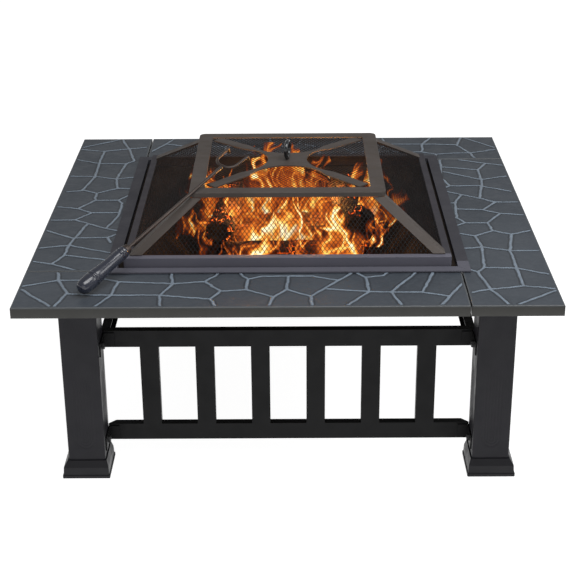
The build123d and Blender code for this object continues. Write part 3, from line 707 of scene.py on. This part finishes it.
def emit(run, hv, thick, to_world, verts, faces):
    run = [p for i, p in enumerate(run) if i == 0 or math.hypot(p[0] - run[i - 1][0], p[1] - run[i - 1][1]) > 0.3]
    if len(run) < 2:
        return
    base = len(verts)
    for u, v in run:
        for dv, dn in ((-hv, -0.5), (hv, -0.5), (hv * 0.8, 0.5), (-hv * 0.8, 0.5)):
            verts.append(to_world(u, v + dv, dn * thick))
    n = len(run)
    for i in range(n - 1):
        a = base + 4 * i
        for j in range(4):
            faces.append((a + j, a + 4 + j, a + 4 + (j + 1) % 4, a + (j + 1) % 4))
    faces.append((base, base + 1, base + 2, base + 3))
    e = base + 4 * (n - 1)
    faces.append((e + 3, e + 2, e + 1, e))


LOW, HIGH, ZL, ZH = 246.0, 154.0, 335.0, 398.0
RUN, RISE = LOW - HIGH, ZH - ZL
SL = math.hypot(RUN, RISE)
ct, st = RUN / SL, RISE / SL


def panel_world(a):
    ca, sa = round(math.cos(math.radians(a)), 9), round(math.sin(math.radians(a)), 9)

    def f(u, v, n):
        y = -LOW + ct * v - st * n * 1.0
        z = ZL + st * v + ct * n + 0.75
        return (ca * u - sa * y, sa * u + ca * y, z)

    return f


def lower_inside(u, v):
    return 2.6 <= v <= SL - 1.2 and abs(u) <= LOW - ct * v - 2.5


for side, a in (("front", 0), ("right", 90), ("back", 180), ("left", 270)):
    vs, fs = strands(panel_world(a), lower_inside, LOW, 2.6, SL)
    make("mesh_" + side, vs, fs, M["mesh"], "lid", ("lid_mesh_" + side,), smooth=False)

lo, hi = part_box("lid_mesh_top")
ztop = 0.5 * (lo.z + hi.z) / MM


def top_inside(u, v):
    return abs(u) <= 146.5 and abs(v) <= 146.5


vs, fs = strands(lambda u, v, n: (u, v, ztop + n * 0.8), top_inside, 146.5, -146.5, 146.5, pitch_u=7.0, pitch_v=5.6)
make("mesh_top", vs, fs, M["mesh"], "lid", ("lid_mesh_top",), smooth=False)


# ------------------------------------------------------------------ firewood
def log_mesh(name, cx, cy, cz, radius, length, ang, seed, lumps=1.0):
    rng = np.random.default_rng(seed)
    na, nl = ((110, 150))
    th = np.linspace(0, 2 * np.pi, na, endpoint=False)
    ls = np.linspace(-0.5, 0.5, nl)
    T, L = np.meshgrid(th, ls)
    side = np.cos(T) * 1.6
    up = np.sin(T) * 1.6
    big = noise2(side + 7, up + L * 5, seed) * 0.07 + noise2(side * 2 + 3, up * 2 + L * 14, seed + 1) * 0.045
    ridges = noise2(np.cos(T) * 6 + 11, np.sin(T) * 6 + L * 2.2, seed + 2) * 0.06
    # char checks: a net of cracks across and along the grain
    cellx = (T / (2 * np.pi)) * 11 + 0.8 * noise2(L * 9, T * 2, seed + 3)
    celly = L * (length / 17.0) + 0.7 * noise2(T * 3, L * 8, seed + 4) + 0.5 * (np.floor(cellx) % 2)
    ex = np.minimum(cellx % 1, 1 - cellx % 1) / 0.10
    ey = np.minimum(celly % 1, 1 - celly % 1) / 0.13
    crack = np.clip(1 - np.minimum(ex, ey), 0, 1)
    patch = smooth01(noise2(T * 1.3, L * 4, seed + 5), -0.5, 0.25)
    crack = crack * patch
    R = radius * (0.93 + big + ridges * 0.6) - crack * 2.0
    R = np.minimum(R, radius * 1.03)
    taper = 1 - 0.10 * smooth01(np.abs(L), 0.44, 0.5)
    R = R * taper
    x, y = R * np.cos(T), R * np.sin(T)
    z = L * length + (1.8 * noise2(np.cos(T) * 3, np.sin(T) * 3, seed + 6)) * (np.abs(L) > 0.49)
    P = np.stack([x.ravel(), y.ravel(), z.ravel()], 1)
    C = crack.ravel()
    faces = []
    idx = np.arange(nl * na).reshape(nl, na)
    a, b = idx[:-1], idx[1:]
    faces += np.stack([a.ravel(), np.roll(a, -1, 1).ravel(), np.roll(b, -1, 1).ravel(), b.ravel()], 1).tolist()
    base = len(P)
    extra, ec = [], []
    for end, row in ((-1, idx[0]), (1, idx[-1])):
        prev = row
        for f in (0.72, 0.42, 0.16):
            ringp = P[row].copy()
            ringp[:, :2] *= f
            ringp[:, 2] = end * length * 0.5 + end * (-1.2 + 0.8 * np.cos(f * 9)) - end * 1.0
            start = base + len(extra)
            extra += ringp.tolist()
            ec += (0.22 * (noise2(np.cos(th) * 4 * f + 20, np.sin(th) * 4 * f, seed + 8) > 0.3)).tolist()
            cur = np.arange(start, start + na)
            quad = np.stack([prev, np.roll(prev, -1), np.roll(cur, -1), cur], 1)
            faces += (quad if end > 0 else quad[:, ::-1]).tolist()
            prev = cur
        faces.append(prev.tolist() if end > 0 else prev[::-1].tolist())
    P = np.concatenate([P, np.array(extra)])
    C = np.concatenate([C, np.array(ec)])
    # local z runs along the log
    t = math.radians(ang)
    d = np.array([math.cos(t), math.sin(t), 0.0])
    s = np.array([-math.sin(t), math.cos(t), 0.0])
    W = P[:, 2:3] * d + P[:, 0:1] * s + P[:, 1:2] * np.array([0, 0, 1.0]) + np.array([cx, cy, cz])
    return W, faces, C


def logs(name, items, node):
    V, F, C = [], [], []
    for k, it in enumerate(items):
        v, f, c = log_mesh(name, *it)
        off = sum(len(q) for q in V)
        V.append(v)
        C.append(c)
        F += [[i + off for i in face] for face in f]
    return make(name, np.concatenate(V), F, M["wood"], "grate", (node,), attrs={"crack": np.concatenate(C)})


LOG_Z = 237.7
logs("charred_lower_logs", [(-4, -74, LOG_Z + 27, 27, 250, 0, 101), (6, -8, LOG_Z + 29, 29, 262, 0, 102), (-2, 60, LOG_Z + 28, 28, 246, 0, 103)], "firewood_lower_logs")
logs("charred_upper_logs", [(-104, -8, LOG_Z + 58.3 + 24, 24, 210, 84, 104), (108, -4, LOG_Z + 58.3 + 30, 30, 216, 97, 105)], "firewood_upper_logs")


# ------------------------------------------------------------------ embers
def coals():
    rng = np.random.default_rng(7)
    V, F = [], []
    base = np.array([(0, 0, 1), (0, 0, -1), (1, 0, 0), (-1, 0, 0), (0, 1, 0), (0, -1, 0)], float)
    n = 230
    for k in range(n):
        ang, rad = rng.uniform(0, 2 * math.pi), 128 * math.sqrt(rng.uniform(0, 1))
        c = np.array([rad * math.cos(ang) * 0.98, rad * math.sin(ang) * 0.98, 186.5 + rng.uniform(4, 16) + 10 * (1 - rad / 128)])
        size = rng.uniform(6, 11)
        th = np.linspace(0, 2 * np.pi, 7, endpoint=False) + rng.uniform(0, 6)
        ring = []
        for lev, (rr, zz) in enumerate(((0.55, -0.75), (1.0, -0.25), (0.95, 0.3), (0.5, 0.8))):
            for t in th:
                j = rng.uniform(0.8, 1.15)
                ring.append((rr * j * math.cos(t), rr * j * math.sin(t), zz * rng.uniform(0.85, 1.1)))
        ring += [(0, 0, -0.9), (0, 0, 0.95)]
        P = np.array(ring) * size
        q = rng.uniform(-0.5, 0.5)
        P[:, 2] = np.maximum(P[:, 2] * 0.8 + P[:, 0] * q * 0.3 + c[2], 186.0)
        P[:, 0] += c[0]
        P[:, 1] += c[1]
        o = sum(len(v) for v in V)
        V.append(P)
        for lev in range(3):
            for i in range(7):
                a, b = lev * 7 + i, lev * 7 + (i + 1) % 7
                F.append((o + a, o + b, o + b + 7, o + a + 7))
        for i in range(7):
            F.append((o + 28, o + (i + 1) % 7, o + i))
            F.append((o + 29, o + 21 + i, o + 21 + (i + 1) % 7))
    make("ember_bed", np.concatenate(V), F, M["ember"], "bowl", smooth=False)


coals()


# ------------------------------------------------------------------ flames
def roof(x, y):
    """Height under the screen at x, y."""
    m = max(abs(x), abs(y))
    return (ZL + (LOW - m) * RISE / RUN if m > HIGH else 401.0) - 4.0


def flame_sheet(name, path, z0, peaks, seed, mat, lean=0.0, root=0.35):
    """A curtain of flame over a wavy line in plan; peaks are its tongues."""
    nu, nv = ((220, 90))
    (xa, ya), (xb, yb) = path
    length = math.hypot(xb - xa, yb - ya)
    du, dn = ((xb - xa) / length, (yb - ya) / length), (-(yb - ya) / length, (xb - xa) / length)
    V, fx, fz, ft, fe = [], [], [], [], []
    for i in range(nu):
        s = i / (nu - 1)
        tip = 0.0
        for c, w, h in peaks:
            tip = max(tip, h * math.exp(-(((s - c) / w) ** 2)))
        px, py = xa + (xb - xa) * s, ya + (yb - ya) * s
        for j in range(nv):
            v = j / (nv - 1)
            off = 7 * math.sin(9 * s + seed) * (0.4 + v) + 5 * math.sin(23 * s + 5 * v + seed * 2) * v
            sway = 6 * math.sin(6 * v + seed + 7 * s) * v + lean * v
            x = px + dn[0] * off + du[0] * sway
            y = py + dn[1] * off + du[1] * sway
            top = min(z0 + max(tip, 0.05) * 150.0 + 6, roof(x, y))
            z = z0 + (top - z0) * v
            V.append((x, y, z))
            fx.append(s * length / 1000.0 + seed)
            fz.append((z - z0) / 1000.0)
            ft.append(v)
            fe.append(float(1 - smooth01(np.array(min(s, 1 - s)), 0.0, 0.10)) + root * (1 - float(smooth01(np.array(v), 0.0, 0.10 if root < 0.5 else 0.30))))
    idx = np.arange(nu * nv).reshape(nu, nv)
    a, b, c, e = idx[:-1, :-1].ravel(), idx[1:, :-1].ravel(), idx[1:, 1:].ravel(), idx[:-1, 1:].ravel()
    F = np.stack([a, b, c, e], 1).tolist()
    make(name, V, F, mat, "grate", attrs={"fx": fx, "fz": fz, "ft": ft, "fe": fe})


FL = [flame_material("flame_%d" % i, i + 1.0) for i in range(3)]
DIM = flame_material("flame_side", 5.0, power=0.85)
flame_sheet("flame_front", ((-172, -124), (176, -124)), 276, ((0.10, 0.09, 0.50), (0.26, 0.08, 0.78), (0.42, 0.08, 0.62), (0.56, 0.08, 0.84), (0.72, 0.08, 0.60), (0.88, 0.09, 0.52)), 1.3, FL[0])
flame_sheet("flame_mid_front", ((-180, -66), (182, -66)), 276, ((0.08, 0.08, 0.66), (0.22, 0.09, 0.86), (0.38, 0.09, 0.92), (0.53, 0.09, 0.90), (0.68, 0.09, 0.92), (0.86, 0.10, 0.82)), 2.7, FL[1])
flame_sheet("flame_middle", ((-176, -8), (178, -8)), 280, ((0.12, 0.10, 0.80), (0.30, 0.09, 0.92), (0.46, 0.10, 0.90), (0.63, 0.09, 0.92), (0.84, 0.10, 0.85)), 3.9, FL[2])
flame_sheet("flame_middle_back", ((-170, 56), (172, 56)), 280, ((0.14, 0.10, 0.70), (0.34, 0.09, 0.86), (0.50, 0.09, 0.92), (0.66, 0.09, 0.84), (0.85, 0.10, 0.70)), 8.9, FL[1])
flame_sheet("flame_back", ((150, 124), (-150, 124)), 280, ((0.12, 0.10, 0.40), (0.30, 0.09, 0.50), (0.45, 0.07, 0.95), (0.62, 0.07, 0.95), (0.86, 0.10, 0.45)), 5.1, FL[0])
flame_sheet("flame_crown", ((-92, 126), (56, 126)), 300, ((0.18, 0.16, 1.2), (0.42, 0.16, 1.2), (0.62, 0.16, 1.2), (0.84, 0.14, 1.2)), 9.6, FL[2])
flame_sheet("flame_left_front", ((-196, -62), (-122, -62)), 284, ((0.34, 0.24, 0.56), (0.68, 0.24, 0.74)), 6.3, DIM, root=1.0)
flame_sheet("flame_left_back", ((-214, 34), (-120, 34)), 290, ((0.24, 0.20, 0.54), (0.60, 0.26, 0.78)), 4.4, DIM, root=1.0)
flame_sheet("flame_right_front", ((128, -40), (214, -40)), 292, ((0.34, 0.24, 0.74), (0.72, 0.20, 0.60)), 7.7, DIM, root=1.0)
flame_sheet("flame_right_back", ((120, 62), (216, 62)), 290, ((0.40, 0.26, 0.80), (0.78, 0.18, 0.58)), 11.3, DIM, root=1.0)


# --------------------------------------------------------- turned handle
def turned_handle():
    """The poker's lacquered grip: pointed butt, one ring, a waist and a double ring."""
    butt, rest = Vector((-307.0, -373.0, 332.8)), Vector((-149.1, -157.5, 410.6))
    d = (rest - butt).normalized()
    e1 = d.cross(Vector((0, 0, 1))).normalized()
    e2 = e1.cross(d).normalized()
    prof = [(0.05, 0.4), (0.1, 3.0), (0.5, 5.6), (1.6, 8.0), (3.6, 9.8), (6.5, 11.0), (11, 11.9), (16, 12.3), (22, 12.5), (25.4, 12.5),
            (26.2, 12.3), (26.8, 11.5), (28.0, 11.1), (29.2, 11.5), (29.9, 12.2), (31.2, 12.4), (32.4, 12.2), (33.0, 11.7), (34.0, 11.7), (35.0, 11.9),
            (42, 11.5), (50, 11.0), (58, 10.4), (66, 9.95), (74, 9.75), (82, 9.9), (88, 10.15), (90.2, 10.2),
            (90.9, 9.7), (91.8, 9.15), (92.8, 9.3), (93.6, 10.0), (95.0, 10.2), (96.6, 9.9), (97.4, 9.3), (98.4, 9.1),
            (99.4, 9.5), (101.0, 9.7), (102.6, 9.3), (103.6, 8.2), (103.9, 4.0), (103.9, 3.6)]
    na = 72
    V, F = [], []
    for sp, r in prof:
        for k in range(na):
            t = 2 * math.pi * k / na
            p = butt + d * sp + (e1 * math.cos(t) + e2 * math.sin(t)) * r
            V.append(tuple(p))
    for i in range(len(prof) - 1):
        for k in range(na):
            a, b = i * na + k, i * na + (k + 1) % na
            F.append((a, b, b + na, a + na))
    F.append(tuple(range(na))[::-1])
    F.append(tuple((len(prof) - 1) * na + k for k in range(na)))
    make("turned_handle", V, F, M["handle"], "poker", replaces=("poker_handle",))


turned_handle()

# ------------------------------------------------------------------- stage
floor_mat = bpy.data.materials.new("pale_floor")
floor_mat.use_nodes = True
fb = floor_mat.node_tree.nodes["Principled BSDF"]
fb.inputs["Base Color"].default_value = (0.42, 0.42, 0.42, 1)
fb.inputs["Emission Color"].default_value = (1.0, 1.0, 1.0, 1)
fb.inputs["Emission Strength"].default_value = 0.94
fb.inputs["Roughness"].default_value = 0.9
fb.inputs["Specular IOR Level"].default_value = 0.1
me = bpy.data.meshes.new("floor")
h = 14.0
me.from_pydata([(-h, -h, -0.0004), (h, -h, -0.0004), (h, h, -0.0004), (-h, h, -0.0004)], [], [(0, 1, 2, 3)])
me.materials.append(floor_mat)
floor = bpy.data.objects.new("floor", me)
S.collection.objects.link(floor)
floor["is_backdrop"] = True

world = bpy.data.worlds.new("studio")
S.world = world
world.use_nodes = True
wb = world.node_tree.nodes["Background"]
wb.inputs[0].default_value = (1.0, 1.0, 1.0, 1.0)
wb.inputs[1].default_value = 0.31


def area(name, loc, target, size, power, color=(1, 1, 1)):
    li = bpy.data.lights.new(name, "AREA")
    li.shape = "RECTANGLE"
    li.size, li.size_y = size
    li.energy = power
    li.color = color
    ob = bpy.data.objects.new(name, li)
    ob.location = loc
    d = Vector(target) - Vector(loc)
    ob.rotation_euler = d.to_track_quat("-Z", "Y").to_euler()
    ob.visible_camera = False
    S.collection.objects.link(ob)
    return ob


area("soft_top", (0.40, -0.85, 2.1), (0, 0, 0.3), (1.5, 1.1), 29.0)
area("soft_right", (2.1, -0.2, 1.5), (0, 0, 0.3), (1.2, 1.0), 12.0)
area("soft_front", (-0.4, -3.0, 1.0), (0, 0, 0.3), (2.4, 1.2), 8.0)


def fire_light(name, loc, power, radius, color=(1.0, 0.42, 0.10)):
    li = bpy.data.lights.new(name, "POINT")
    li.energy = power
    li.color = color
    li.shadow_soft_size = radius
    ob = bpy.data.objects.new(name, li)
    ob.location = loc
    S.collection.objects.link(ob)
    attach(ob, "grate")


fire_light("fire_glow_left", (-0.07, -0.02, 0.34), 2.3, 0.03)
fire_light("fire_glow_right", (0.06, 0.02, 0.345), 2.3, 0.03)
fire_light("fire_glow_low", (0.0, 0.0, 0.225), 0.5, 0.03, (1.0, 0.3, 0.05))

# ------------------------------------------------------------------ camera
cam = bpy.data.cameras.new("camera")
cam.lens, cam.sensor_width, cam.sensor_fit = 87.65, 36.0, "HORIZONTAL"
cam.clip_start, cam.clip_end = 0.05, 60.0
cam.dof.use_dof = False
co = bpy.data.objects.new("camera", cam)
S.collection.objects.link(co)
p, yaw, roll = math.radians(23.651), math.radians(-0.2694), math.radians(-0.4012)
v = Vector((math.sin(yaw) * math.cos(p), math.cos(yaw) * math.cos(p), -math.sin(p)))
r = Vector((math.cos(yaw), -math.sin(yaw), 0.0))
u = r.cross(v)
r2 = r * math.cos(roll) + u * math.sin(roll)
u2 = u * math.cos(roll) - r * math.sin(roll)
mw = Matrix((r2, u2, -v)).transposed().to_4x4()
mw.translation = Vector((0.00918, -2.26929, 1.16573))
co.matrix_world = mw
S.camera = co
S.view_settings.view_transform = "Standard"
S.view_settings.look = "None"

lo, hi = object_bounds()
